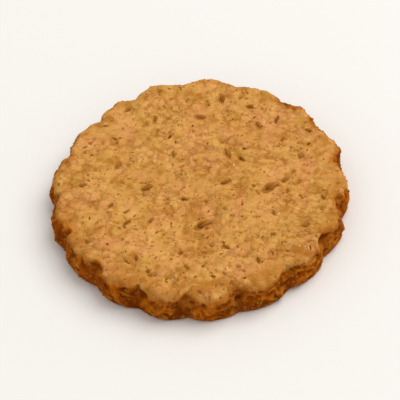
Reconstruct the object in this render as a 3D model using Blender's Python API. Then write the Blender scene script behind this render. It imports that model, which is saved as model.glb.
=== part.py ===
# Anise biscuit: wholemeal dough cut with a fluted round cutter and baked, with whole aniseeds in its top.
# Metres, +Z up. The origin is the middle of the flat underside, on the surface that the biscuit rests on,
# and +Y points away from someone who looks at it.

import math

import bmesh
import bpy
import numpy as np
from mathutils import Euler, Matrix, Vector

MM = 0.001

# Driving dimensions
CREST_RADIUS = 30.3 * MM         # middle to the crest of a scallop
THICKNESS = 7.4 * MM             # underside to the middle level of the top
SCALLOPS = 17                    # lobes that the fluted cutter leaves
SCALLOP_DEPTH = 1.9 * MM         # crest to notch, at the top
FIRST_CREST = math.radians(-4)   # heading of one crest, from +X

# Edge, from the top down
CREST_SHOULDER = 1.9 * MM        # rounding between the top and the wall, on a crest
NOTCH_SHOULDER = 0.6 * MM        # the same in a notch, where the cutter's line stays sharp
BULGE = 0.3 * MM                 # how far the wall swells at half height
FOOT = 0.6 * MM                  # rounding between the wall and the underside
NOTCH_LEFT_AT_FOOT = 0.6         # share of the scallops' depth left where the dough has slumped
SHOULDER_STEPS = 3
WALL_STEPS = 3
FOOT_STEPS = 1

# Unevenness of a hand-cut, baked round
SQUARENESS = 0.3 * MM            # four soft corners at +X, +Y, -X and -Y
OVALNESS = 0.15 * MM             # longer along Y than along X
CREST_JITTER = 0.15 * MM         # crests that stand further out than others
TURN_JITTER = math.radians(0.7)  # scallops that are wider than others
LOBE_SEED = 11

# Relief: seed, number of waves, shortest and longest wave, height
SWELL = (3, 14, 14 * MM, 34 * MM, 0.14 * MM)   # slow rise and fall of the top
CRUMB = (5, 40, 3.0 * MM, 7.0 * MM, 0.10 * MM) # coarse crumb, all over
CRAG = (8, 40, 2.4 * MM, 5.0 * MM, 0.16 * MM)  # crumbly wall, added to the crumb
FADE_HEIGHT = 1.5 * MM                         # below this the relief dies away, so the underside is flat

# Aniseeds, whole ones and the broken bits and ends that show where the rest is baked in
SEED_WIDTH = 0.44                # as a share of the length
SEED_TAPER = 0.3                 # how much thinner the stalk end is than the blunt end
SEED_TILT = math.radians(9)      # most that a seed dips along its length
SEED_SUNK = 0.18                 # depth of a seed's axis under the crust, as a share of its width
SEED_SIDES = 6
SEED_RINGS = 4
STRAY_SEEDS = 9                  # bits spread over what the clear seeds leave bare
STRAY_TRIES = 300                # places tried for each of them
STRAY_LENGTH = (1.4 * MM, 2.0 * MM)
SEED_CLEAR_OF_EDGE = 3.6 * MM
SEED_DRAW = 21

# The seeds that show best: millimetres along X, along Y, heading in degrees, millimetres long
CLEAR_SEEDS = (
    (14.9, -2.1, 35, 4.0), (0.5, -10.3, 20, 3.8), (6.7, 8.1, 105, 2.8), (6.8, 24, 90, 2.6),
    (-10.4, 1.1, 20, 2.5), (1.9, 19.2, 160, 2.5), (5.7, 0.2, 15, 2.2), (-15.9, 8.1, 60, 2.2),
    (13.7, 15.2, 110, 2.2), (12.3, 20.6, 165, 2.0), (17.9, -0.4, 30, 1.9), (9.5, 6.1, 120, 1.9),
    (-15.1, -7.8, 30, 1.9), (-18.2, -3, 60, 1.8), (17.5, 16.3, 60, 1.8), (25, -6.5, 110, 1.8),
    (-12.9, 23.5, 40, 1.8), (-7.4, 19.6, 75, 1.8), (-4, -21.5, 120, 1.8), (23.6, 12.3, 150, 1.8),
    (14.7, -9.5, 100, 1.6), (-23.6, -12, 105, 1.6), (-10.3, -7.8, 45, 1.6),
)

CELLS = 3 * SCALLOPS             # cells along one side of the top's grid: 12 round each scallop
CRUST_COLOUR = (0.597, 0.275, 0.067, 1.0)
CRUST_ROUGHNESS = 0.85


def clear_scene():
    for old in list(bpy.data.objects):
        bpy.data.objects.remove(old, do_unlink=True)


def baked_crust():
    material = bpy.data.materials.new("baked wholemeal crust")
    material.use_nodes = True
    shader = material.node_tree.nodes["Principled BSDF"]
    shader.inputs["Base Color"].default_value = CRUST_COLOUR
    shader.inputs["Roughness"].default_value = CRUST_ROUGHNESS
    shader.inputs["Metallic"].default_value = 0.0
    return material


def relief(points, kind):
    """Height of one kind of relief at each point: many plane waves of seeded heading, length and phase."""
    seed, waves, shortest, longest, height = kind
    draw = np.random.default_rng(seed)
    heading = draw.normal(size=(waves, 3))
    heading /= np.linalg.norm(heading, axis=1)[:, None]
    length = draw.uniform(shortest, longest, waves)
    phase = draw.uniform(0.0, 2 * math.pi, waves)
    turns = points @ (2 * math.pi * heading / length[:, None]).T + phase
    return height * math.sqrt(2 / waves) * np.sin(turns).sum(axis=1)


def crust_relief(points, lean):
    """Height over the plain form. The lean is 0 where the crust faces up and 1 where it faces out."""
    level = relief(points, SWELL) * (1 - lean) + relief(points, CRUMB) + relief(points, CRAG) * lean
    return level * np.clip(points[:, 2] / FADE_HEIGHT, 0.0, 1.0)


def lobe_share(turn):
    """1 on the crest of a scallop and 0 in a notch."""
    return np.abs(np.cos(turn * SCALLOPS / 2))


def outline(turn, notch_left):
    """Radius and heading of the scalloped edge, where the turn counts evenly round from one crest."""
    draw = np.random.default_rng(LOBE_SEED)
    jitter = CREST_JITTER * draw.uniform(-1.0, 1.0, SCALLOPS)
    sway = draw.uniform(0.0, 2 * math.pi, 2)
    lobe = lobe_share(turn)
    nearest = np.round(turn * SCALLOPS / (2 * math.pi)).astype(int) % SCALLOPS
    heading = turn + FIRST_CREST + TURN_JITTER * (np.sin(3 * turn + sway[0]) + np.sin(5 * turn + sway[1]))
    radius = CREST_RADIUS - SCALLOP_DEPTH * notch_left * (1 - lobe) + jitter[nearest] * lobe
    radius += SQUARENESS * np.cos(4 * heading) / 2 - OVALNESS * np.cos(2 * heading)
    return radius, heading


def edge_rows():
    """Rows of the edge from the top down: turn of the shoulder, share of the wall, turn of the foot."""
    square = math.pi / 2
    shoulder = [(angle, 0.0, 0.0) for angle in np.linspace(0.0, square, SHOULDER_STEPS + 1)]
    wall = [(square, share, 0.0) for share in np.linspace(0.0, 1.0, WALL_STEPS + 1)[1:]]
    foot = [(square, 1.0, angle) for angle in np.linspace(0.0, square, FOOT_STEPS + 1)[1:]]
    return np.array(shoulder + wall + foot)


def edge_section(turn, row):
    """Inset and height of points of the edge, and the angle of its face from straight up."""
    on_shoulder, on_wall, on_foot = row.T
    shoulder = NOTCH_SHOULDER + (CREST_SHOULDER - NOTCH_SHOULDER) * lobe_share(turn)
    wall = THICKNESS - shoulder - FOOT
    inset = shoulder * (1 - np.sin(on_shoulder)) + FOOT * (1 - np.cos(on_foot))
    inset -= BULGE * np.sin(math.pi * on_wall)
    height = THICKNESS - shoulder * (1 - np.cos(on_shoulder)) - wall * on_wall - FOOT * np.sin(on_foot)
    return inset, height, on_shoulder + on_foot


def square_to_disc(corner):
    """A point of the square grid moved onto the disc, so that each square of cells becomes a ring."""
    across, away = corner.x, corner.y
    reach = max(abs(across), abs(away))
    if reach == 0.0:
        return Vector((0.0, 0.0, 0.0))
    if abs(across) >= abs(away):
        turn = math.pi / 4 * away / across + (math.pi if across < 0 else 0.0)
    else:
        turn = math.pi / 2 - math.pi / 4 * across / away + (math.pi if away < 0 else 0.0)
    return Vector((reach * math.cos(turn), reach * math.sin(turn), 0.0))


def flat_pattern(rows):
    """The crust laid out flat: a disc of even cells for the top, and a ring for each row of the edge."""
    sheet = bmesh.new()
    bmesh.ops.create_grid(sheet, x_segments=CELLS, y_segments=CELLS, size=1.0)
    for vert in sheet.verts:
        vert.co = square_to_disc(vert.co)
    for row in range(1, rows):
        rim = [edge for edge in sheet.edges if edge.is_boundary]
        grown = bmesh.ops.extrude_edge_only(sheet, edges=rim)["geom"]
        for vert in grown:
            if isinstance(vert, bmesh.types.BMVert):
                vert.co *= (row + 1) / row
    return sheet


def fold_to_shape(flat):
    """Places for the flat pattern's points: the top's up to 1 from the middle, and past it the edge's."""
    rows = edge_rows()
    reach = np.hypot(flat[:, 0], flat[:, 1])
    # half a cell's turn puts every notch on a row of points
    turn = np.arctan2(flat[:, 1], flat[:, 0]) + math.pi / (4 * CELLS)
    row = np.clip(np.round(reach - 1).astype(int), 0, len(rows) - 1)
    inset, height, angle = edge_section(turn, rows[row])
    notch_left = NOTCH_LEFT_AT_FOOT + (1 - NOTCH_LEFT_AT_FOOT) * height / THICKNESS
    radius, heading = outline(turn, notch_left)
    radius = (radius - inset) * np.minimum(reach, 1.0)
    plain = np.column_stack((radius * np.cos(heading), radius * np.sin(heading), height))
    lift = crust_relief(plain, np.sin(angle))
    out = lift * np.sin(angle)
    return plain + np.column_stack((out * np.cos(heading), out * np.sin(heading), lift * np.cos(angle)))


def baked_round(parts):
    """The biscuit without its seeds: the flat pattern folded down round its edge and closed underneath."""
    sheet = flat_pattern(len(edge_rows()))
    flat = np.array([vert.co[:] for vert in sheet.verts])
    for vert, place in zip(sheet.verts, fold_to_shape(flat)):
        vert.co = place
    bmesh.ops.holes_fill(sheet, edges=[edge for edge in sheet.edges if edge.is_boundary], sides=0)
    underside = [face for face in sheet.faces if len(face.verts) > 4]
    bmesh.ops.poke(sheet, faces=underside)
    bmesh.ops.recalc_face_normals(sheet, faces=sheet.faces)
    mesh = bpy.data.meshes.new("biscuit")
    sheet.to_mesh(mesh)
    sheet.free()
    mesh.materials.append(baked_crust())
    biscuit = bpy.data.objects.new("biscuit", mesh)
    parts.objects.link(biscuit)
    return biscuit


def seed_places():
    """The seeds' x, y, heading and length: the clear ones, then strays in the widest gaps."""
    places = [(x * MM, y * MM, math.radians(heading), length * MM) for x, y, heading, length in CLEAR_SEEDS]
    draw = np.random.default_rng(SEED_DRAW)
    reach = CREST_RADIUS - SCALLOP_DEPTH - SEED_CLEAR_OF_EDGE
    for _ in range(STRAY_SEEDS):
        radius = reach * np.sqrt(draw.uniform(0.0, 1.0, STRAY_TRIES))
        turn = draw.uniform(0.0, 2 * math.pi, STRAY_TRIES)
        tries = np.column_stack((radius * np.cos(turn), radius * np.sin(turn)))
        taken = np.array(places)[:, :2]
        gap = np.linalg.norm(tries[:, None] - taken[None], axis=2).min(axis=1)
        x, y = tries[np.argmax(gap)]
        places.append((x, y, draw.uniform(0.0, math.pi), draw.uniform(*STRAY_LENGTH)))
    return places


def seed_shape():
    """One aniseed, a pear shape along X, 1 long and 1 wide."""
    form = bmesh.new()
    bmesh.ops.create_uvsphere(form, u_segments=SEED_SIDES, v_segments=SEED_RINGS, radius=0.5)
    lengthwise = Matrix.Rotation(math.pi / 2, 3, "Y")
    bmesh.ops.rotate(form, verts=form.verts, cent=(0.0, 0.0, 0.0), matrix=lengthwise)
    for vert in form.verts:
        thinner = 1 - SEED_TAPER * (0.5 + vert.co.x)
        vert.co.y *= thinner
        vert.co.z *= thinner
    mesh = bpy.data.meshes.new("aniseed")
    form.to_mesh(mesh)
    form.free()
    return mesh


def sow_seeds(seeds):
    """Lays each seed along the crust, its axis just under it."""
    shape = seed_shape()
    places = seed_places()
    flat = np.array([(x, y, THICKNESS) for x, y, _, _ in places])
    level = THICKNESS + crust_relief(flat, np.zeros(len(flat)))
    draw = np.random.default_rng(SEED_DRAW + 1)
    for (x, y, heading, length), height in zip(places, level):
        dip = SEED_TILT * draw.uniform(-1.0, 1.0)
        place = Vector((x, y, height - SEED_SUNK * SEED_WIDTH * length))
        turned = Euler((0.0, dip, heading)).to_quaternion()
        size = Vector((1.0, SEED_WIDTH, SEED_WIDTH)) * length
        seed = bpy.data.objects.new("aniseed", shape)
        seed.matrix_world = Matrix.LocRotScale(place, turned, size)
        seeds.objects.link(seed)


def fuse(biscuit, seeds):
    """One solid from the biscuit and its seeds, after which the loose seeds go."""
    bpy.context.view_layer.update()
    union = biscuit.modifiers.new("fuse seeds", "BOOLEAN")
    union.operation = "UNION"
    union.operand_type = "COLLECTION"
    union.collection = seeds
    bpy.context.view_layer.objects.active = biscuit
    bpy.ops.object.modifier_apply(modifier=union.name)
    for seed in list(seeds.objects):
        bpy.data.objects.remove(seed, do_unlink=True)
    bpy.data.collections.remove(seeds)


def main():
    clear_scene()
    parts = bpy.data.collections.new("anise biscuit")
    seeds = bpy.data.collections.new("loose seeds")
    bpy.context.scene.collection.children.link(parts)
    bpy.context.scene.collection.children.link(seeds)
    biscuit = baked_round(parts)
    sow_seeds(seeds)
    fuse(biscuit, seeds)
    biscuit.data.shade_smooth()
    print("triangles:", sum(len(face.vertices) - 2 for face in biscuit.data.polygons))


main()
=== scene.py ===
# Anise biscuit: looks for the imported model. Metres, +Z up, +Y away from the camera.
import math

import bpy
import numpy as np
from mathutils import Matrix, Vector


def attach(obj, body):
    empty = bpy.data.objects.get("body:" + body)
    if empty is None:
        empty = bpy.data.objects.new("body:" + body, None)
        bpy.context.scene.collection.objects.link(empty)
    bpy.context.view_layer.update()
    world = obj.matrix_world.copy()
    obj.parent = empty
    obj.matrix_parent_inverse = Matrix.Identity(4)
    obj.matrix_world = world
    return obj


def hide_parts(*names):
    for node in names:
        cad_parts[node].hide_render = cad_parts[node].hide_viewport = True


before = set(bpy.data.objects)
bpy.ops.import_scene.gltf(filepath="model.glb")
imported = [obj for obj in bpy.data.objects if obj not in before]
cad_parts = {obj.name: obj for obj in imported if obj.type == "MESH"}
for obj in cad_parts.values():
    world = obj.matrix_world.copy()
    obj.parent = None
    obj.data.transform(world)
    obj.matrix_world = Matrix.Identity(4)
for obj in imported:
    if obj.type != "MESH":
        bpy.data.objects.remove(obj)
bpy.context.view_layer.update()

mm = 0.001
fullTurn = 2 * math.pi
tiny = 0.01                                  # keeps a division away from zero
noiseGrid = {"span": 64, "shift": 1000.0}    # cells before a pattern repeats, and cells that it is moved by


def putMesh(name, points, faces, marks=None):
    # points (n, 3) and faces, rows of indices, become a mesh object at the origin; marks are values per point
    mesh = bpy.data.meshes.new(name)
    mesh.from_pydata(points.tolist(), [], faces if isinstance(faces, list) else faces.tolist())
    for markName, values in (marks or {}).items():
        mark = mesh.attributes.new(markName, "FLOAT", "POINT")
        mark.data.foreach_set("value", np.ascontiguousarray(values, dtype=np.float32))
    mesh.shade_smooth()
    piece = bpy.data.objects.new(name, mesh)
    bpy.context.scene.collection.objects.link(piece)
    return piece


def waveRelief(points, kind):
    # spread * sqrt(2 / n) * sum of sin(2 pi heading . point / length + phase) over n seeded waves
    draw = np.random.default_rng(kind["seed"])
    heading = draw.normal(size=(kind["waves"], 3))
    heading /= np.linalg.norm(heading, axis=1)[:, None]
    length = draw.uniform(kind["shortest"], kind["longest"], kind["waves"])
    phase = draw.uniform(0.0, fullTurn, kind["waves"])
    turns = points @ (fullTurn * heading / length[:, None]).T + phase
    return kind["spread"] * math.sqrt(2 / kind["waves"]) * np.sin(turns).sum(axis=1)


def latticeNoise(points, size, seed):
    # random values from -1 to 1 on a turned cubic lattice, blended between its corners by smoothed shares
    span = noiseGrid["span"]
    draw = np.random.default_rng(seed)
    lattice = draw.uniform(-1.0, 1.0, (span, span, span))
    axes = np.linalg.qr(draw.normal(size=(3, 3)))[0]
    scaled = points @ axes / size + noiseGrid["shift"]
    low = np.floor(scaled).astype(int)
    share = scaled - low
    share = share * share * (3 - 2 * share)
    total = np.zeros(len(points))
    for corner in np.ndindex(2, 2, 2):
        weight = np.prod(np.where(corner, share, 1 - share), axis=1)
        at = (low + corner) % span
        total += weight * lattice[at[:, 0], at[:, 1], at[:, 2]]
    return total


def grainCells(points, size, seed):
    # one random spot in each cube of a lattice: the distances to the two nearest, as shares of size,
    # and the draw of the nearest
    span = noiseGrid["span"]
    draw = np.random.default_rng(seed)
    spots = draw.uniform(0.0, 1.0, (span, span, span, 3))
    lots = draw.uniform(0.0, 1.0, (span, span, span))
    scaled = points / size + noiseGrid["shift"]
    low = np.floor(scaled).astype(int)
    nearest = np.full(len(points), np.inf)
    second = np.full(len(points), np.inf)
    lot = np.zeros(len(points))
    for step in np.ndindex(3, 3, 3):
        cube = low + np.array(step) - 1
        at = cube % span
        away = np.linalg.norm(cube + spots[at[:, 0], at[:, 1], at[:, 2]] - scaled, axis=1)
        closer = away < nearest
        second = np.minimum(second, np.maximum(away, nearest))
        nearest = np.where(closer, away, nearest)
        lot = np.where(closer, lots[at[:, 0], at[:, 1], at[:, 2]], lot)
    return nearest, second, lot


# the round's form, with the solid's own sizes
form = {
    "crestRadius": 30.3 * mm,
    "thickness": 7.4 * mm,
    "scallops": 17,
    "scallopDepth": 1.9 * mm,
    "firstCrest": math.radians(-4),
    "crestShoulder": 1.9 * mm,          # rounding of the upper edge on a crest
    "notchShoulder": 0.6 * mm,          # and in a notch
    "bulge": 0.3 * mm,
    "foot": 0.6 * mm,                   # rounding of the lower edge
    "notchLeftAtFoot": 0.6,             # share of the notch's depth down there
    "squareness": 0.3 * mm,
    "ovalness": 0.15 * mm,
    "crestJitter": 0.15 * mm,
    "turnJitter": math.radians(0.7),
    "lobeSeed": 11,
    "fadeHeight": 1.5 * mm,             # below this the relief dies away
}
swell = {"seed": 3, "waves": 14, "shortest": 14 * mm, "longest": 34 * mm, "spread": 0.14 * mm}
crumb = {"seed": 5, "waves": 40, "shortest": 3.0 * mm, "longest": 7.0 * mm, "spread": 0.10 * mm}
crag = {"seed": 8, "waves": 40, "shortest": 2.4 * mm, "longest": 5.0 * mm, "spread": 0.16 * mm}


def lobeShare(turn):
    # |cos(n turn / 2)|: 1 on the crest of a scallop and 0 in a notch
    return np.abs(np.cos(turn * form["scallops"] / 2))


def edgeSection(turn, reach):
    # reach 0 to 1 is the top, 1 to 2 runs down the edge by its arc length, 2 to 3 is the underside
    shoulder = form["notchShoulder"] + (form["crestShoulder"] - form["notchShoulder"]) * lobeShare(turn)
    shoulderArc = shoulder * math.pi / 2
    footArc = form["foot"] * math.pi / 2
    wall = form["thickness"] - shoulder - form["foot"]
    run = (np.clip(reach, 1.0, 2.0) - 1) * (shoulderArc + wall + footArc)
    onShoulder = np.clip(run / shoulderArc, 0.0, 1.0) * math.pi / 2
    onWall = np.clip((run - shoulderArc) / wall, 0.0, 1.0)
    onFoot = np.clip((run - shoulderArc - wall) / footArc, 0.0, 1.0) * math.pi / 2
    inset = shoulder * (1 - np.sin(onShoulder)) - form["bulge"] * np.sin(math.pi * onWall)
    inset += form["foot"] * (1 - np.cos(onFoot))
    height = form["thickness"] - shoulder * (1 - np.cos(onShoulder)) - wall * onWall
    height -= form["foot"] * np.sin(onFoot)
    return inset, height, onShoulder + onFoot


def scallopedEdge(turn, notchLeft):
    # radius = crest - depth * (1 - |cos(n turn / 2)|), each crest a little in or out, with soft corners at
    # four headings and a slight oval; the headings sway three and five times round
    draw = np.random.default_rng(form["lobeSeed"])
    jitter = form["crestJitter"] * draw.uniform(-1.0, 1.0, form["scallops"])
    sway = draw.uniform(0.0, fullTurn, 2)
    lobe = lobeShare(turn)
    nearest = np.round(turn * form["scallops"] / fullTurn).astype(int) % form["scallops"]
    heading = turn + form["firstCrest"]
    heading = heading + form["turnJitter"] * (np.sin(3 * turn + sway[0]) + np.sin(5 * turn + sway[1]))
    radius = form["crestRadius"] - form["scallopDepth"] * notchLeft * (1 - lobe) + jitter[nearest] * lobe
    radius += form["squareness"] * np.cos(4 * heading) / 2 - form["ovalness"] * np.cos(2 * heading)
    return radius, heading


def plainLift(points, lean):
    # the solid's own relief, before it dies away towards the underside
    level = waveRelief(points, swell) * (1 - lean) + waveRelief(points, crumb)
    return level + waveRelief(points, crag) * lean


# aniseeds lie where the solid has them; width is a share of their length, taper and sunk of their width
seedForm = {
    "width": 0.44, "taper": 0.3, "tilt": math.radians(9), "sunk": 0.18,
    "strays": 9, "tries": 300, "strayLength": (1.4 * mm, 2.0 * mm), "clearOfEdge": 3.6 * mm, "seed": 21,
    "around": 30, "along": 22, "fullness": 0.62, "bend": 0.10,
    "ribs": 5, "ribPower": 6, "ribHeight": 0.10,         # a higher power gives narrower ribs
    "uneven": 0.05, "unevenSize": 0.3 * mm, "unevenApart": 0.1, "unevenSeed": 61,
    "broken": 2.4 * mm, "whole": 3.8 * mm,               # lengths of a broken bit and of a whole seed
    # tone runs from dark to pale: by a draw in broken bits, and from the blunt end to the stalk in whole ones
    "brokenPale": 0.5, "wholePale": 1.3, "wholeDark": 0.25, "toneSeed": 62,
    # millimetres along X, along Y, heading in degrees, millimetres long
    "clear": (
        (14.9, -2.1, 35, 4.0), (0.5, -10.3, 20, 3.8), (6.7, 8.1, 105, 2.8), (6.8, 24, 90, 2.6),
        (-10.4, 1.1, 20, 2.5), (1.9, 19.2, 160, 2.5), (5.7, 0.2, 15, 2.2), (-15.9, 8.1, 60, 2.2),
        (13.7, 15.2, 110, 2.2), (12.3, 20.6, 165, 2.0), (17.9, -0.4, 30, 1.9), (9.5, 6.1, 120, 1.9),
        (-15.1, -7.8, 30, 1.9), (-18.2, -3, 60, 1.8), (17.5, 16.3, 60, 1.8), (25, -6.5, 110, 1.8),
        (-12.9, 23.5, 40, 1.8), (-7.4, 19.6, 75, 1.8), (-4, -21.5, 120, 1.8), (23.6, 12.3, 150, 1.8),
        (14.7, -9.5, 100, 1.6), (-23.6, -12, 105, 1.6), (-10.3, -7.8, 45, 1.6),
    ),
}


def seedPlaces():
    # the clear seeds, then each stray at the best of many tries: the one furthest from every seed so far
    places = []
    for x, y, heading, length in seedForm["clear"]:
        places.append((x * mm, y * mm, math.radians(heading), length * mm))
    draw = np.random.default_rng(seedForm["seed"])
    reach = form["crestRadius"] - form["scallopDepth"] - seedForm["clearOfEdge"]
    for _ in range(seedForm["strays"]):
        radius = reach * np.sqrt(draw.uniform(0.0, 1.0, seedForm["tries"]))
        turn = draw.uniform(0.0, fullTurn, seedForm["tries"])
        tries = np.column_stack((radius * np.cos(turn), radius * np.sin(turn)))
        taken = np.array(places)[:, :2]
        gap = np.linalg.norm(tries[:, None] - taken[None], axis=2).min(axis=1)
        x, y = tries[np.argmax(gap)]
        places.append((x, y, draw.uniform(0.0, math.pi), draw.uniform(*seedForm["strayLength"])))
    places = np.array(places)
    dip = seedForm["tilt"] * np.random.default_rng(seedForm["seed"] + 1).uniform(-1.0, 1.0, len(places))
    flat = np.column_stack((places[:, :2], np.full(len(places), form["thickness"])))
    level = form["thickness"] + plainLift(flat, np.zeros(len(flat)))
    x, y, heading, length = places.T
    return x, y, heading, length, dip, level - seedForm["sunk"] * seedForm["width"] * length


seeds = seedPlaces()


def wholeShare(length):
    # (length - broken) / (whole - broken): 0 for a broken bit to 1 for a whole seed
    return np.clip((length - seedForm["broken"]) / (seedForm["whole"] - seedForm["broken"]), 0.0, 1.0)


def growSeeds():
    # pear profile sin(pi v) ** fullness, thinner towards the stalk, carried along a slightly bent axis,
    # with ribs |cos(ribs * u / 2)| ** power round it
    x, y, heading, length, dip, depth = seeds
    count = len(x)
    v = np.linspace(0.0, 1.0, seedForm["along"] + 1)[1:-1]
    u = np.arange(seedForm["around"]) * fullTurn / seedForm["around"]
    vv, uu = np.meshgrid(v, u, indexing="ij")
    girth = np.sin(math.pi * vv) ** seedForm["fullness"] * (1 - seedForm["taper"] * vv)
    rib = np.abs(np.cos(seedForm["ribs"] * uu / 2)) ** seedForm["ribPower"]
    girth = girth * (1 - seedForm["ribHeight"] * (1 - rib)) / 2
    body = np.stack((vv - 0.5, girth * np.cos(uu), girth * np.sin(uu)), axis=-1).reshape(-1, 3)
    body = np.vstack((body, [(-0.5, 0.0, 0.0), (0.5, 0.0, 0.0)]))
    body[:, 2] -= seedForm["bend"] * (2 * body[:, 0]) ** 2
    ribMark = np.append(rib.ravel(), (0.5, 0.5))
    index = np.arange(vv.size).reshape(vv.shape)
    after = np.roll(index, -1, axis=1)
    sides = np.stack((index[:-1], after[:-1], after[1:], index[1:]), axis=-1).reshape(-1, 4)
    ends = np.concatenate((
        np.column_stack((after[0], index[0], np.full(len(u), vv.size))),
        np.column_stack((index[-1], after[-1], np.full(len(u), vv.size + 1))),
    ))
    scaled = body[None] * (np.array([1.0, seedForm["width"], seedForm["width"]]) * length[:, None])[:, None]
    apart = np.arange(count)[:, None, None] * seedForm["unevenApart"]    # so no two seeds are uneven alike
    rough = latticeNoise((scaled + apart).reshape(-1, 3), seedForm["unevenSize"], seedForm["unevenSeed"])
    scaled = scaled * (1 + seedForm["uneven"] * rough.reshape(count, -1, 1))
    cosDip, sinDip = np.cos(dip)[:, None], np.sin(dip)[:, None]
    along = scaled[..., 0] * cosDip + scaled[..., 2] * sinDip
    rise = scaled[..., 2] * cosDip - scaled[..., 0] * sinDip
    cosTurn, sinTurn = np.cos(heading)[:, None], np.sin(heading)[:, None]
    points = np.stack((
        x[:, None] + along * cosTurn - scaled[..., 1] * sinTurn,
        y[:, None] + along * sinTurn + scaled[..., 1] * cosTurn,
        depth[:, None] + rise,
    ), axis=-1)
    step = (np.arange(count) * len(body))[:, None, None]
    faces = (sides[None] + step).reshape(-1, 4).tolist() + (ends[None] + step).reshape(-1, 3).tolist()
    whole = wholeShare(length)
    chance = np.random.default_rng(seedForm["toneSeed"]).uniform(0.0, 1.0, count)
    lots = seedForm["brokenPale"] * (1 - whole) * chance
    paler = seedForm["wholePale"] * np.append(vv.ravel(), (0.0, 1.0)) - seedForm["wholeDark"]
    tone = np.clip(lots[:, None] + whole[:, None] * paler, 0.0, 1.0)
    marks = {"tone": tone.ravel(), "rib": np.tile(ribMark, count)}
    piece = putMesh("Aniseeds", points.reshape(-1, 3), faces, marks)
    print("aniseeds:", count)
    return piece


# the crust's fine relief, its browning and the shade painted into its dips; bare shares of a grain, crack
# or hole are of its pattern's size, and a level is where a grain or ridge passes from above the skin to below
# it
skin = {
    "warpSize": 1.3 * mm, "warp": 0.45 * mm,             # bends grains and holes out of round
    "lumpSize": 1.8 * mm, "lumpHeight": 0.17 * mm, "lumpLevel": 0.55,    # packed meal grains
    "gritSize": 0.85 * mm, "gritHeight": 0.055 * mm, "gritLevel": 0.5,
    "dustSize": 0.45 * mm, "dustHeight": 0.02 * mm,
    "crackWidth": 0.10, "crackDepth": 0.13 * mm,         # between some of the grains, in patches
    "crackPatch": 3.5 * mm, "crackContrast": 2.5, "crackShare": 0.4,
    "poreSize": 1.9 * mm, "poreRadius": 0.20, "poreDepth": 0.24 * mm, "poreShare": 0.38,
    "pitSize": 3.6 * mm, "pitRadius": 0.17, "pitDepth": 0.34 * mm, "pitShare": 0.55,
    "pitUneven": 0.07, "pitPatch": 0.6 * mm,
    "tearSize": 1.7 * mm, "tearHeight": 0.34 * mm, "tearFlat": 1.5,    # broken crumb of the cut wall
    "tearSharp": 2.2, "tearLevel": 0.2, "tornLeast": 0.25,
    # how dark the shade painted into each kind of dip is; a gap is the low ground between grains
    "poreShade": 0.75, "pitPower": 1.7, "crackShade": 0.45, "tearShade": 0.7, "seedShade": 0.8,
    "gapShade": 0.25, "gapStart": 0.5, "gapSoft": 0.3,
    # the underside starts past the foot, at a reach of baseStart, and is low and paler in places
    "baseStart": 2.04, "baseSoft": 0.125, "baseSize": 4.5 * mm, "baseContrast": 1.2, "baseShare": 0.2,
    "baseDip": 0.25 * mm, "basePale": 0.55,
    "rimWidth": 5.6 * mm, "tongue": 2.2 * mm, "footDarkHeight": 1.6 * mm,  # reach of the browning in and down, and of the darkening up from the foot
    "rimPatch": 3.0 * mm, "rimUneven": 1.9, "tongueWarm": 0.6, "notchShadePower": 1.5,
    "rimSide": 0.65, "rimLeast": 0.1,                    # the rim is browner at the front than at the back
    "seedDip": 0.2 * mm, "seedReach": 0.34 * mm,         # dough drawn back round each seed
    "reachPatch": 0.7 * mm, "reachUneven": 0.5,
    "seedShiftToShadowSide": 0.07, "wholeShiftToShadowSide": 0.05,                   # the dip and its painted shadow moved towards the side away from the lamp, as shares of its length
    "seedDipAndShadow": 0.7, "wholeDipAndShadow": 0.3,               # deepest dip and painted shadow: a broken one's, and what a whole one has more
    "seeds": {
        "warp": (41, 42, 43), "tear": (44, 45), "dust": 47, "crack": 48, "lump": 51, "grit": 52,
        "pore": 53, "pit": 54, "base": 56, "pitPatch": 57, "rim": 58, "reach": 63,
    },
}


def skinNoise(points, sizeName, seedName):
    return latticeNoise(points, skin[sizeName], skin["seeds"][seedName])


def seedDipsAndShadows(points):
    # how deep a place is in a seed's dip, which also sets the seed's painted shadow: most inside the seed's
    # outline, moved aside towards the side away from the lamp, to 0 a reach from it, smoothed by share ** 2 *
    # (3 - 2 * share)
    x, y, heading, length, _, _ = seeds
    whole = wholeShare(length)
    reach = skin["seedReach"] * (1 + skin["reachUneven"] * skinNoise(points, "reachPatch", "reach"))
    most = np.zeros(len(points))
    for k in range(len(x)):
        shiftToShadowSide = (skin["seedShiftToShadowSide"] + skin["wholeShiftToShadowSide"] * whole[k]) * length[k]
        across = points[:, 0] - x[k] + shiftToShadowSide
        away = points[:, 1] - y[k] + shiftToShadowSide
        along = across * math.cos(heading[k]) + away * math.sin(heading[k])
        aside = away * math.cos(heading[k]) - across * math.sin(heading[k])
        apart = np.maximum(np.hypot(along, aside), tiny * mm)
        outline = np.maximum(np.hypot(along, aside / seedForm["width"]) / (length[k] / 2), tiny)
        share = np.clip(1 - apart * (1 - 1 / outline) / reach, 0.0, 1.0)
        deepest = skin["seedDipAndShadow"] + skin["wholeDipAndShadow"] * whole[k]
        most = np.maximum(most, deepest * share * share * (3 - 2 * share))
    return most


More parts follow.
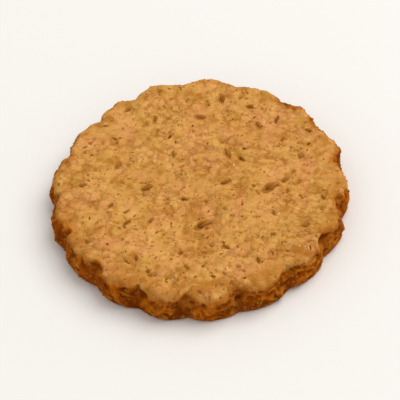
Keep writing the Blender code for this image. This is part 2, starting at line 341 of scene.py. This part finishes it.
def fineRelief(points, lean, toast):
    # rounded grains with cracks between them, less the pores and pits; the toasted wall adds torn crumb
    bend = np.column_stack([latticeNoise(points, skin["warpSize"], seed) for seed in skin["seeds"]["warp"]])
    at = points + skin["warp"] * bend
    lump, lumpNext, lot = grainCells(at, skin["lumpSize"], skin["seeds"]["lump"])
    grit, _, gritLot = grainCells(at, skin["gritSize"], skin["seeds"]["grit"])
    # grains stand up by 0.5 to 1.5 times the usual height
    level = skin["lumpHeight"] * (0.5 + lot) * (skin["lumpLevel"] - lump)
    level += skin["gritHeight"] * (0.5 + gritLot) * (skin["gritLevel"] - grit)
    level += skin["dustHeight"] * skinNoise(points, "dustSize", "dust")
    cracked = skin["crackContrast"] * skinNoise(points, "crackPatch", "crack") + skin["crackShare"]
    cracked = np.clip(cracked, 0.0, 1.0)
    crack = np.clip(1 - (lumpNext - lump) / skin["crackWidth"], 0.0, 1.0) * cracked
    level -= skin["crackDepth"] * crack
    # pores have 0.5 to 1.5 times the radius and half to all of the depth, pits 0.6 to 1.4 times the radius
    pore, _, poreLot = grainCells(at, skin["poreSize"], skin["seeds"]["pore"])
    poreRadius = skin["poreRadius"] * (0.5 + poreLot / skin["poreShare"])
    poreDip = np.clip(1 - (pore / poreRadius) ** 2, 0.0, 1.0) * (poreLot < skin["poreShare"])
    pit, _, pitLot = grainCells(at, skin["pitSize"], skin["seeds"]["pit"])
    pit = pit + skin["pitUneven"] * skinNoise(points, "pitPatch", "pitPatch")
    pitRadius = skin["pitRadius"] * (0.6 + 0.8 * pitLot / skin["pitShare"])
    pitDip = np.clip(1 - (pit / pitRadius) ** 2, 0.0, 1.0) * (pitLot < skin["pitShare"])
    level -= skin["poreDepth"] * poreDip * (0.5 + 0.5 * poreLot / skin["poreShare"])
    level -= skin["pitDepth"] * pitDip
    # ridges 1 - sharp * |noise| - sharp / 2 * |noise at half the size|, flattened to lie in layers
    coarseSeed, fineSeed = skin["seeds"]["tear"]
    squat = at * np.array([1.0, 1.0, skin["tearFlat"]])
    coarse = np.abs(latticeNoise(squat, skin["tearSize"], coarseSeed))
    fine = np.abs(latticeNoise(squat, skin["tearSize"] / 2, fineSeed))
    tear = 1 - skin["tearSharp"] * coarse - skin["tearSharp"] / 2 * fine
    torn = lean * (skin["tornLeast"] + (1 - skin["tornLeast"]) * toast)
    level += skin["tearHeight"] * (tear - skin["tearLevel"]) * torn
    # painted shade: darker in the pores, pits, cracks, low places of torn crumb and gaps between grains
    hollow = skin["poreShade"] * poreDip + pitDip ** skin["pitPower"] + skin["crackShade"] * crack
    hollow = hollow + skin["tearShade"] * np.clip(-tear, 0.0, 1.0) * torn
    gap = np.clip((lump - skin["gapStart"]) / skin["gapSoft"], 0.0, 1.0)
    return level, hollow + skin["gapShade"] * gap


toasting = {
    "notchStart": 0.25 * mm, "crestStart": 1.4 * mm, "crestPower": 1.3, "soft": 1.3 * mm,
    "inwardShare": 0.8,                                  # of the way in from the rim, taken off the depth
    "patch": 2.6 * mm, "uneven": 0.95 * mm, "patchSeed": 46,
    "sweep": 9 * mm, "swing": 0.5 * mm, "sweepSeed": 49,
    "unlike": 0.5 * mm, "seed": 17,                      # one draw for each crest and each notch
}


def toastedEdge(turn, height, inward, points):
    # (depth below the top - start) / soft + 1/2, where the dark starts lower on a crest than in a notch
    crestShare = lobeShare(turn) ** toasting["crestPower"]
    start = toasting["notchStart"] + (toasting["crestStart"] - toasting["notchStart"]) * crestShare
    start += toasting["uneven"] * latticeNoise(points, toasting["patch"], toasting["patchSeed"])
    start += toasting["swing"] * latticeNoise(points, toasting["sweep"], toasting["sweepSeed"])
    lots = np.random.default_rng(toasting["seed"]).uniform(-1.0, 1.0, 2 * form["scallops"])
    lotTurns = np.arange(len(lots)) * fullTurn / len(lots)
    start += toasting["unlike"] * np.interp(turn, lotTurns, lots, period=fullTurn)
    depth = form["thickness"] - height - toasting["inwardShare"] * inward
    return np.clip((depth - start) / toasting["soft"] + 0.5, 0.0, 1.0)


def brownedRim(heading, height, inward, points):
    # side * (1 - inward / width) ** 2, and at least tongueWarm * depth below the top / tongue, where side is
    # 1 at the front and falls off towards the back, in uneven patches
    side = np.clip(1 - skin["rimSide"] * (1 + np.sin(heading)), skin["rimLeast"], 1.0)
    side = side * (1 + skin["rimUneven"] * skinNoise(points, "rimPatch", "rim"))
    warm = side * np.clip(1 - inward / skin["rimWidth"], 0.0, 1.0) ** 2
    below = np.clip((form["thickness"] - height) / skin["tongue"], 0.0, 1.0)
    return np.clip(np.maximum(warm, skin["tongueWarm"] * below), 0.0, 1.0)


def crustSurface(turn, reach, fine=True):
    # the edge's section carried round the scalloped outline, lifted along its normal by the relief
    inset, height, angle = edgeSection(turn, reach)
    notchLeft = form["notchLeftAtFoot"] + (1 - form["notchLeftAtFoot"]) * height / form["thickness"]
    radius, heading = scallopedEdge(turn, notchLeft)
    radius = (radius - inset) * np.clip(reach, 0.0, 1.0) * np.clip(3 - reach, 0.0, 1.0)
    plain = np.column_stack((radius * np.cos(heading), radius * np.sin(heading), height))
    lean = np.sin(angle)
    inward = radius * np.clip(1 / np.maximum(reach, tiny) - 1, 0.0, 1.0)
    toast = toastedEdge(turn, height, inward, plain)
    warm = brownedRim(heading, height, inward, plain)
    # darker down the wall towards the foot
    sear = np.clip(1 - height / skin["footDarkHeight"], 0.0, 1.0)
    nook = lean * (1 - lobeShare(turn)) ** skin["notchShadePower"]    # painted shade on the wall inside a notch
    lift = plainLift(plain, lean)
    hollow = np.zeros(len(plain))
    if fine:
        extra, hollow = fineRelief(plain, lean, toast)
        seedDipAndShadow = seedDipsAndShadows(plain) * (reach < 1)
        lift = lift + extra - skin["seedDip"] * seedDipAndShadow
        # painted shadow round each seed, most on the side away from the lamp
        hollow = np.clip(hollow + skin["seedShade"] * seedDipAndShadow, 0.0, 1.0)
    lift = lift * np.clip(plain[:, 2] / form["fadeHeight"], 0.0, 1.0)
    out = lift * lean
    points = plain + np.column_stack((out * np.cos(heading), out * np.sin(heading), lift * np.cos(angle)))
    # low places where the underside didn't touch the baking tin; inside is 0 as far as the foot
    inside = np.clip((reach - skin["baseStart"]) / skin["baseSoft"], 0.0, 1.0)
    dip = skin["baseContrast"] * skinNoise(plain, "baseSize", "base") + skin["baseShare"]
    dip = np.clip(dip, 0.0, 1.0) * inside
    points[:, 2] += skin["baseDip"] * dip
    toast = toast * (1 - skin["basePale"] * (0.5 * inside + 0.5 * dip))
    hollow = hollow * (reach < 2)
    return points, {"hollow": hollow, "toast": toast, "warm": warm, "sear": sear, "nook": nook}


crustMesh = {"cells": 14 * 17, "edgeRows": 30, "undersideRows": 15}    # 4 * 14 points round each scallop


def discGrid(cells):
    # a square grid moved onto the disc: turn is the place along its square ring, reach the ring's own size
    line = np.linspace(-1.0, 1.0, cells + 1)
    away, across = np.meshgrid(line, line, indexing="ij")
    reach = np.maximum(np.abs(across), np.abs(away))
    sideways = np.abs(across) >= np.abs(away)
    safe = np.where(reach == 0, 1.0, np.where(sideways, across, away))
    share = np.where(sideways, away, across) / safe
    turn = np.where(sideways, math.pi / 4 * share, math.pi / 2 - math.pi / 4 * share) + math.pi * (safe < 0)
    return turn.ravel() + math.pi / (4 * cells), reach.ravel()


def crustFaces(cells, rows):
    # the grid's squares, then rings of squares from its rim outwards, then a fan that closes the last ring
    index = np.arange((cells + 1) ** 2).reshape(cells + 1, cells + 1)
    corners = (index[:-1, :-1], index[:-1, 1:], index[1:, 1:], index[1:, :-1])
    squares = np.stack(corners, axis=-1).reshape(-1, 4)
    rim = np.concatenate((index[0, :-1], index[:-1, -1], index[-1, :0:-1], index[:0:-1, 0]))
    rings = np.vstack((rim, index.size + np.arange(rows * len(rim)).reshape(rows, len(rim))))
    after = np.roll(rings, -1, axis=1)
    bands = np.stack((rings[:-1], rings[1:], after[1:], after[:-1]), axis=-1).reshape(-1, 4)
    pole = index.size + rows * len(rim)
    fan = np.column_stack((rings[-1], np.full(len(rim), pole), after[-1]))
    return squares.tolist() + bands.tolist() + fan.tolist(), rim


def bakeCrust():
    # the disc grid for the top, then rings down the edge and in over the underside to its middle
    turn, reach = discGrid(crustMesh["cells"])
    down = 1 + np.linspace(0.0, 1.0, crustMesh["edgeRows"] + 1)[1:]
    under = 2 + np.linspace(0.0, 1.0, crustMesh["undersideRows"] + 1)[1:-1]
    rows = np.concatenate((down, under))
    faces, rim = crustFaces(crustMesh["cells"], len(rows))
    allTurn = np.concatenate((turn, np.tile(turn[rim], len(rows)), [0.0]))
    allReach = np.concatenate((reach, np.repeat(rows, len(rim)), [3.0]))
    points, marks = crustSurface(allTurn, allReach)
    piece = putMesh("BiscuitCrust", points, faces, marks)
    print("crust:", len(points), "points")
    return piece


# where small things may lie, as shares of the top's area and as a reach on the edge, and the small step
# in turn and reach that a slope is taken over
scatter = {"onTop": (0.002, 0.99), "onEdge": (1.02, 1.93), "step": 0.004}


def crustFrames(turn, reach):
    # places on the fine crust, each with the coarse crust's outward normal and two directions along it
    step = scatter["step"]
    place, marks = crustSurface(turn, reach)
    along = crustSurface(turn + step, reach, False)[0] - crustSurface(turn - step, reach, False)[0]
    away = crustSurface(turn, reach + step, False)[0] - crustSurface(turn, reach - step, False)[0]
    along /= np.linalg.norm(along, axis=1)[:, None]
    normal = np.cross(away, along)
    normal /= np.linalg.norm(normal, axis=1)[:, None]
    return place, along, np.cross(normal, along), normal, marks["toast"]


def scatterOver(draw, onTop, onEdge):
    # even by area on the top, reach = sqrt(chance), and between the shoulder and the foot on the edge
    turn = draw.uniform(0.0, fullTurn, onTop + onEdge)
    topReach = np.sqrt(draw.uniform(*scatter["onTop"], onTop))
    return turn, np.concatenate((topReach, draw.uniform(*scatter["onEdge"], onEdge)))


def layShapes(name, shapes, faces, frames, spin, sink, marks):
    # each shape (m, 3), its third axis up from the crust, is spun about the normal and set down at its place
    place, along, aside, normal, toast = frames
    cosSpin, sinSpin = np.cos(spin)[:, None], np.sin(spin)[:, None]
    first = along * cosSpin + aside * sinSpin
    second = np.cross(normal, first)
    up = shapes[..., 2] - sink[:, None]
    points = place[:, None] + shapes[..., 0, None] * first[:, None] + shapes[..., 1, None] * second[:, None]
    points = points + up[..., None] * normal[:, None]
    points[..., 2] = np.maximum(points[..., 2], 0.0)    # nothing goes under what the biscuit rests on
    step = (np.arange(len(place)) * shapes.shape[1])[:, None, None]
    allFaces = (faces[None] + step).reshape(-1, faces.shape[1])
    repeated = {key: np.repeat(values, shapes.shape[1]) for key, values in {**marks, "toast": toast}.items()}
    piece = putMesh(name, points.reshape(-1, 3), allFaces, repeated)
    print(name, len(place))
    return piece


flakes = {
    "onTop": 900, "onEdge": 260, "shortest": 0.45 * mm, "longest": 1.5 * mm, "shortPower": 2.2,
    "width": (0.35, 0.75),                               # share of the length
    "corners": 9, "cornerShift": 0.25, "ragged": 0.3, "topInset": 0.82,
    "thick": 0.11 * mm, "rimLeast": 0.6, "rimMore": 0.6, "dome": 1.25,    # heights as shares of the thickness
    "back": -0.8,                                        # the middle of the back, over the dome's height
    "sunk": (0.3, 1.1), "seed": 71,
}


def layFlakes():
    # a flake is an uneven polygon with a domed top, a rim lower down and a flat back: its radius is
    # 1 + ragged * chance at each corner, its length shortest + (longest - shortest) * chance ** shortPower
    draw = np.random.default_rng(flakes["seed"])
    turn, reach = scatterOver(draw, flakes["onTop"], flakes["onEdge"])
    count, corners = len(turn), flakes["corners"]
    shift = draw.uniform(-flakes["cornerShift"], flakes["cornerShift"], (count, corners))
    angle = np.arange(corners) * fullTurn / corners + shift
    radius = 1 + flakes["ragged"] * draw.uniform(-1.0, 1.0, (count, corners))
    chance = draw.uniform(0.0, 1.0, count) ** flakes["shortPower"]
    length = flakes["shortest"] + (flakes["longest"] - flakes["shortest"]) * chance
    width = length * draw.uniform(*flakes["width"], count)
    half = np.stack((length, width), axis=-1)[:, None] / 2
    rim = np.stack((radius * np.cos(angle), radius * np.sin(angle)), axis=-1) * half
    rise = flakes["rimLeast"] + flakes["rimMore"] * draw.uniform(0.0, 1.0, (count, corners))
    rimTop = np.concatenate((rim * flakes["topInset"], (flakes["thick"] * rise)[..., None]), axis=-1)
    rimLow = np.concatenate((rim, np.full((count, corners, 1), -flakes["thick"])), axis=-1)
    peak = np.full((count, 1, 1), flakes["dome"] * flakes["thick"])
    centreTop = np.concatenate((np.zeros((count, 1, 2)), peak), axis=-1)
    centreLow = centreTop * np.array([1, 1, flakes["back"]])
    shapes = np.concatenate((rimTop, rimLow, centreTop, centreLow), axis=1)
    k = np.arange(corners)
    n = np.roll(k, -1)
    faces = np.concatenate((
        np.column_stack((k, n, np.full(corners, 2 * corners))),
        np.column_stack((k + corners, n + corners, n)),
        np.column_stack((k + corners, n, k)),
        np.column_stack((n + corners, k + corners, np.full(corners, 2 * corners + 1))),
    ))
    spin = draw.uniform(0.0, fullTurn, count)
    sink = flakes["thick"] * draw.uniform(*flakes["sunk"], count)
    tone = draw.uniform(0.0, 1.0, count)
    return layShapes("BranFlakes", shapes, faces, crustFrames(turn, reach), spin, sink, {"tone": tone})


def lumpShape(around, levels):
    # a ball of rings, radius 1: points from pole to pole, and its triangles
    v = np.linspace(0.0, math.pi, levels + 1)[1:-1]
    u = np.arange(around) * fullTurn / around
    vv, uu = np.meshgrid(v, u, indexing="ij")
    ball = np.stack((np.sin(vv) * np.cos(uu), np.sin(vv) * np.sin(uu), np.cos(vv)), axis=-1).reshape(-1, 3)
    ball = np.vstack((ball, [(0.0, 0.0, 1.0), (0.0, 0.0, -1.0)]))
    index = np.arange(vv.size).reshape(vv.shape)
    after = np.roll(index, -1, axis=1)
    faces = np.concatenate((
        np.stack((index[:-1], index[1:], after[1:]), axis=-1).reshape(-1, 3),
        np.stack((index[:-1], after[1:], after[:-1]), axis=-1).reshape(-1, 3),
        np.column_stack((index[0], after[0], np.full(around, vv.size))),
        np.column_stack((after[-1], index[-1], np.full(around, vv.size + 1))),
    ))
    return ball, faces


# loose grains of dough, and dark bits that are longer and lie deeper; sizes are radii, sunk is a share of one
grains = {
    "onTop": 600, "onEdge": 900, "smallest": 0.10 * mm, "largest": 0.36 * mm, "uneven": 0.25, "stretch": 1.5,
    "flatness": (0.6, 0.9), "sunk": (0.1, 0.6), "around": 7, "levels": 4, "seed": 81,
}
bits = {
    "onTop": 110, "onEdge": 25, "smallest": 0.2 * mm, "largest": 0.5 * mm, "uneven": 0.25, "stretch": 2.2,
    "flatness": (0.6, 0.9), "sunk": (0.45, 0.85), "around": 7, "levels": 4, "seed": 91,
}


def layLumps(name, kind):
    # balls of radius smallest + (largest - smallest) * chance ** 2, times 1 + uneven * chance at each point,
    # flattened, and longer one way by 1 to stretch times
    draw = np.random.default_rng(kind["seed"])
    turn, reach = scatterOver(draw, kind["onTop"], kind["onEdge"])
    count = len(turn)
    ball, faces = lumpShape(kind["around"], kind["levels"])
    radius = kind["smallest"] + (kind["largest"] - kind["smallest"]) * draw.uniform(0.0, 1.0, count) ** 2
    uneven = 1 + kind["uneven"] * draw.uniform(-1.0, 1.0, (count, len(ball)))
    longer = draw.uniform(1.0, kind["stretch"], count)
    scale = np.column_stack((longer, np.ones(count), draw.uniform(*kind["flatness"], count)))
    shapes = ball[None] * uneven[..., None] * (radius[:, None] * scale)[:, None]
    spin = draw.uniform(0.0, fullTurn, count)
    sink = radius * draw.uniform(*kind["sunk"], count)
    tone = draw.uniform(0.0, 1.0, count)
    return layShapes(name, shapes, faces, crustFrames(turn, reach), spin, sink, {"tone": tone})


view = {
    "elevation": math.radians(48),
    "roll": math.radians(6),
    "distance": 1.08,
    "lens": 475,
    "aim": (0.0, 0.0, 0.003),
    "near": 0.05,
    "far": 20,
}


def setCamera():
    # axes from the direction of view; the roll tips the far side of the floor as in the picture
    sight = Vector((0, math.cos(view["elevation"]), -math.sin(view["elevation"])))
    level = Vector((1, 0, 0))
    upright = level.cross(sight)
    right = math.cos(view["roll"]) * level - math.sin(view["roll"]) * upright
    up = math.sin(view["roll"]) * level + math.cos(view["roll"]) * upright
    data = bpy.data.cameras.new("Camera")
    data.lens = view["lens"]
    data.clip_start = view["near"]
    data.clip_end = view["far"]
    camera = bpy.data.objects.new("Camera", data)
    place = Vector(view["aim"]) - sight * view["distance"]
    camera.matrix_world = Matrix((
        (right.x, up.x, -sight.x, place.x),
        (right.y, up.y, -sight.y, place.y),
        (right.z, up.z, -sight.z, place.z),
        (0, 0, 0, 1),
    ))
    bpy.context.scene.collection.objects.link(camera)
    bpy.context.scene.camera = camera


def colour(hexCode):
    # sRGB hex to linear
    parts = [int(hexCode[k:k + 2], 16) / 255 for k in (0, 2, 4)]
    return (*[p / 12.92 if p <= 0.04045 else ((p + 0.055) / 1.055) ** 2.4 for p in parts], 1.0)


def addNode(tree, kind, settings=None, inputs=None):
    # one node: settings are its own properties, inputs are values or (node, output) links
    node = tree.nodes.new(kind)
    for key, value in (settings or {}).items():
        setattr(node, key, value)
    for key, value in (inputs or {}).items():
        if isinstance(value, tuple) and isinstance(value[0], bpy.types.Node):
            tree.links.new(value[0].outputs[value[1]], node.inputs[key])
        else:
            node.inputs[key].default_value = value
    return node


def newMaterial(name):
    material = bpy.data.materials.new(name)
    material.use_nodes = True
    tree = material.node_tree
    tree.nodes.clear()
    shader = addNode(tree, "ShaderNodeBsdfPrincipled")
    addNode(tree, "ShaderNodeOutputMaterial", None, {"Surface": (shader, "BSDF")})
    return material, tree, shader


# a Mix node's own sockets for colours
mixShare, mixUnder, mixOver, mixResult = 0, 6, 7, 2


def layTones(tree, base, sources, layers):
    # each layer's tone is laid over those before it, by a share that follows its source
    for name, low, high, shareLow, shareHigh, code in layers:
        share = addNode(tree, "ShaderNodeMapRange", None, {
            "Value": sources[name], "From Min": low, "From Max": high, "To Min": shareLow,
            "To Max": shareHigh})
        laid = addNode(tree, "ShaderNodeMix", {"data_type": "RGBA"}, {
            mixShare: (share, "Result"), mixUnder: base, mixOver: colour(code)})
        base = (laid, mixResult)
    return base


def dressShader(tree, shader, base, height, finish):
    # the tone, a fine bump and the dull surface, which scatters light among its crumbs and so hardly shines
    strength, depth = finish["bump"]
    bump = addNode(tree, "ShaderNodeBump", None, {"Height": height, "Strength": strength, "Distance": depth})
    tree.links.new(base[0].outputs[base[1]], shader.inputs["Base Color"])
    tree.links.new(bump.outputs["Normal"], shader.inputs["Normal"])
    shader.inputs["Roughness"].default_value = finish["roughness"]
    shader.inputs["Specular IOR Level"].default_value = finish["shine"]


dough = {
    # soft patterns: millimetres across, detail, roughness, wispiness; grain stands for flour grains of 0.1 to
    # 0.2 mm, which are too fine to show, and so is drawn at 0.5 mm
    "noises": {
        "patches": (8.0, 2.0, 0.5, 0.0), "rosy": (4.5, 2.0, 0.5, 0.5), "blotch": (3.2, 2.0, 0.55, 0.8),
        "mottle": (1.3, 2.0, 0.6, 0.0), "grain": (0.5, 3.0, 0.65, 0.0),
    },
    "grit": 1.1 * mm,                                    # coarse meal
    "marks": ("hollow", "toast", "warm", "sear", "nook"),
    # tones laid over the base: pattern, its low and high values, the share at each, and the tone
    "tan": "d1934c",
    "tanLayers": (
        ("patches", 0.38, 0.62, 0.0, 0.8, "dba056"),
        ("rosy", 0.5, 0.66, 0.0, 0.55, "d88f59"),
        ("rosy", 0.34, 0.5, 0.55, 0.0, "ca9843"),
        ("warm", 0.0, 1.0, 0.0, 0.72, "b06a22"),
        ("blotch", 0.36, 0.46, 0.75, 0.0, "b3732a"),
        ("blotch", 0.58, 0.7, 0.0, 0.5, "eab167"),
        ("mottle", 0.34, 0.5, 0.42, 0.0, "a5661d"),
        ("grit", 0.65, 1.0, 0.0, 0.3, "f2b96d"),
        ("grit", 0.0, 0.3, 0.22, 0.0, "a2641d"),
        ("grain", 0.3, 0.5, 0.15, 0.0, "975a15"),
        # painted shade in the dips
        ("hollow", 0.0, 1.0, 0.0, 0.75, "804800"),
    ),
    "toasted": "cc7012",
    "toastedLayers": (
        ("blotch", 0.42, 0.56, 0.8, 0.0, "7e3200"),
        ("blotch", 0.54, 0.66, 0.0, 0.65, "c08030"),
        ("mottle", 0.42, 0.6, 0.4, 0.0, "904400"),
        ("grit", 0.6, 1.0, 0.0, 0.25, "c28c44"),
        # darker towards the foot
        ("sear", 0.0, 1.0, 0.0, 0.4, "7a3600"),
        # painted shade in the notches
        ("nook", 0.0, 1.0, 0.0, 0.55, "6a2600"),
        # painted shade in the dips
        ("hollow", 0.0, 0.7, 0.0, 0.8, "682c00"),
    ),
    "ragged": 1.1, "toastStart": 0.15,
    "bump": (0.9, 0.18 * mm), "roughness": 0.95, "shine": 0.02,
}


def bakedWholemeal():
    # coarse wholemeal dough, baked dry: a matt, sandy skin, mottled tan, with the toasted edge much darker,
    # and with shade painted into its dips and notches
    material, tree, shader = newMaterial("BakedWholemealDough")
    where = addNode(tree, "ShaderNodeTexCoord")
    sources = {}
    for name, (size, detail, roughness, wisp) in dough["noises"].items():
        noise = addNode(tree, "ShaderNodeTexNoise", None, {
            "Vector": (where, "Object"), "Scale": 1 / (size * mm), "Detail": detail, "Roughness": roughness,
            "Distortion": wisp})
        sources[name] = (noise, "Fac")
    grit = addNode(tree, "ShaderNodeTexVoronoi", None, {
        "Vector": (where, "Object"), "Scale": 1 / dough["grit"], "Randomness": 1.0})
    sources["grit"] = (grit, "Color")
    for name in dough["marks"]:
        sources[name] = (addNode(tree, "ShaderNodeAttribute", {"attribute_name": name}), "Fac")
    tan = layTones(tree, colour(dough["tan"]), sources, dough["tanLayers"])
    toasted = layTones(tree, colour(dough["toasted"]), sources, dough["toastedLayers"])
    # toasted where its mark plus ragged * (grain - 1/2) is high, and never where the mark is 0
    ragged = addNode(tree, "ShaderNodeMath", {"operation": "MULTIPLY_ADD"}, {
        0: sources["grain"], 1: dough["ragged"], 2: -dough["ragged"] / 2})
    edge = addNode(tree, "ShaderNodeMath", {"operation": "ADD", "use_clamp": True}, {
        0: sources["toast"], 1: (ragged, 0)})
    started = addNode(tree, "ShaderNodeMapRange", None, {
        "Value": sources["toast"], "From Max": dough["toastStart"]})
    share = addNode(tree, "ShaderNodeMath", {"operation": "MULTIPLY"}, {0: (edge, 0), 1: (started, "Result")})
    crust = addNode(tree, "ShaderNodeMix", {"data_type": "RGBA"}, {
        mixShare: (share, 0), mixUnder: tan, mixOver: toasted})
    dressShader(tree, shader, (crust, mixResult), sources["grain"], dough)
    return material


def toneMaterial(name, finish):
    # each small piece has a tone by its own draw, broken up by a fine noise, and by the marks that it uses
    material, tree, shader = newMaterial(name)
    where = addNode(tree, "ShaderNodeTexCoord")
    tone = addNode(tree, "ShaderNodeAttribute", {"attribute_name": "tone"})
    ramp = addNode(tree, "ShaderNodeValToRGB", None, {"Fac": (tone, "Fac")})
    for k, code in enumerate(finish["tones"]):
        place = k / (len(finish["tones"]) - 1)
        stop = ramp.color_ramp.elements[k] if k < 2 else ramp.color_ramp.elements.new(place)
        stop.position = place
        stop.color = colour(code)
    size, detail = finish["grain"]
    grain = addNode(tree, "ShaderNodeTexNoise", None, {
        "Vector": (where, "Object"), "Scale": 1 / size, "Detail": detail})
    sources = {"grain": (grain, "Fac")}
    for mark in finish["marks"]:
        sources[mark] = (addNode(tree, "ShaderNodeAttribute", {"attribute_name": mark}), "Fac")
    mixed = layTones(tree, (ramp, "Color"), sources, finish["layers"])
    dressShader(tree, shader, mixed, sources["grain"], finish)
    return material


# tones run from dark to pale or by chance, grain is the fine noise's size and detail, bump its strength and
# depth, and layers are as the dough's

# dried aniseed: a dull brown ribbed husk, the ribs paler than the grooves; a whole seed is dark at the blunt
# end, and paler and a little mauve towards the stalk
aniseedHusk = {
    "tones": ("804200", "a86a28", "bc8858"), "grain": (0.3 * mm, 3.0), "marks": ("rib",),
    "layers": (("grain", 0.35, 0.7, 0.2, 0.0, "683800"), ("rib", 0.0, 1.0, 0.0, 0.4, "c68a3e")),
    "bump": (0.5, 0.1 * mm), "roughness": 0.85, "shine": 0.02,
}
# skins of the bran, milled thin: papery flakes, pale to brown, and browner on the toasted edge
branSkin = {
    "tones": ("945a1c", "b57830", "d2944a", "e8b26a", "ae702e"), "grain": (0.4 * mm, 3.0),
    "marks": ("toast",),
    "layers": (("grain", 0.35, 0.7, 0.3, 0.0, "5c2e06"), ("toast", 0.0, 1.0, 0.0, 0.8, "a85c10")),
    "bump": (0.3, 0.1 * mm), "roughness": 0.95, "shine": 0.06,
}
# loose grains of the same dough: matt, drier and so a little paler
doughCrumb = {
    "tones": ("b46e26", "cc8a42", "dea05a"), "grain": (0.3 * mm, 3.0), "marks": ("toast",),
    "layers": (("grain", 0.35, 0.7, 0.3, 0.0, "5c2e06"), ("toast", 0.0, 1.0, 0.0, 0.85, "a65a04")),
    "bump": (0.5, 0.1 * mm), "roughness": 0.95, "shine": 0.06,
}
# bits of husk and bran, baked dull and dark brown
toastedBit = {
    "tones": ("743e00", "884e08", "9a6012"), "grain": (0.3 * mm, 3.0), "marks": ("toast",),
    "layers": (("grain", 0.35, 0.7, 0.3, 0.0, "5c2e06"), ("toast", 0.0, 1.0, 0.0, 0.8, "5c2c02")),
    "bump": (0.4, 0.1 * mm), "roughness": 0.95, "shine": 0.06,
}

light = {
    "sky": 0.65, "lampPower": 17.0, "lampSize": 1.3, "lampPlace": (0.78, 0.32, 1.4),
    "floorSide": 3.0, "floorLevel": -0.05 * mm, "floorTone": "efece6", "floorRoughness": 0.8,
}


def paleFloor():
    # painted table top: matt, even and near white
    material, _, shader = newMaterial("PaleTabletop")
    shader.inputs["Base Color"].default_value = colour(light["floorTone"])
    shader.inputs["Roughness"].default_value = light["floorRoughness"]
    return material


def setStage():
    side, level = light["floorSide"], light["floorLevel"]
    corners = np.array([(x * side, y * side, level) for x, y in ((-1, -1), (1, -1), (1, 1), (-1, 1))])
    floor = putMesh("Floor", corners, [[0, 1, 2, 3]])
    floor.data.materials.append(paleFloor())
    world = bpy.data.worlds.new("Studio")
    world.use_nodes = True
    world.node_tree.nodes["Background"].inputs["Color"].default_value = (1, 1, 1, 1)
    world.node_tree.nodes["Background"].inputs["Strength"].default_value = light["sky"]
    bpy.context.scene.world = world
    lamp = bpy.data.lights.new("SoftBox", "AREA")
    lamp.shape = "SQUARE"
    lamp.size = light["lampSize"]
    lamp.energy = light["lampPower"]
    box = bpy.data.objects.new("SoftBox", lamp)
    box.location = light["lampPlace"]
    box.rotation_euler = (-box.location).to_track_quat("-Z", "Y").to_euler()
    bpy.context.scene.collection.objects.link(box)
    bpy.context.scene.view_settings.view_transform = "Standard"


def finishPiece(piece, material, slotName, *nodes):
    piece.data.materials.append(material)
    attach(piece, "root")
    if nodes:
        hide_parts(*nodes)


setCamera()
setStage()
print("stage set")
finishPiece(bakeCrust(), bakedWholemeal(), "baked_crust", "biscuit")
finishPiece(growSeeds(), toneMaterial("AniseedHusk", aniseedHusk), "aniseed", "biscuit")
finishPiece(layFlakes(), toneMaterial("BranSkins", branSkin), "bran")
finishPiece(layLumps("DoughGrains", grains), toneMaterial("DoughCrumbs", doughCrumb), "baked_crust")
finishPiece(layLumps("ToastedBits", bits), toneMaterial("ToastedBran", toastedBit), "aniseed")
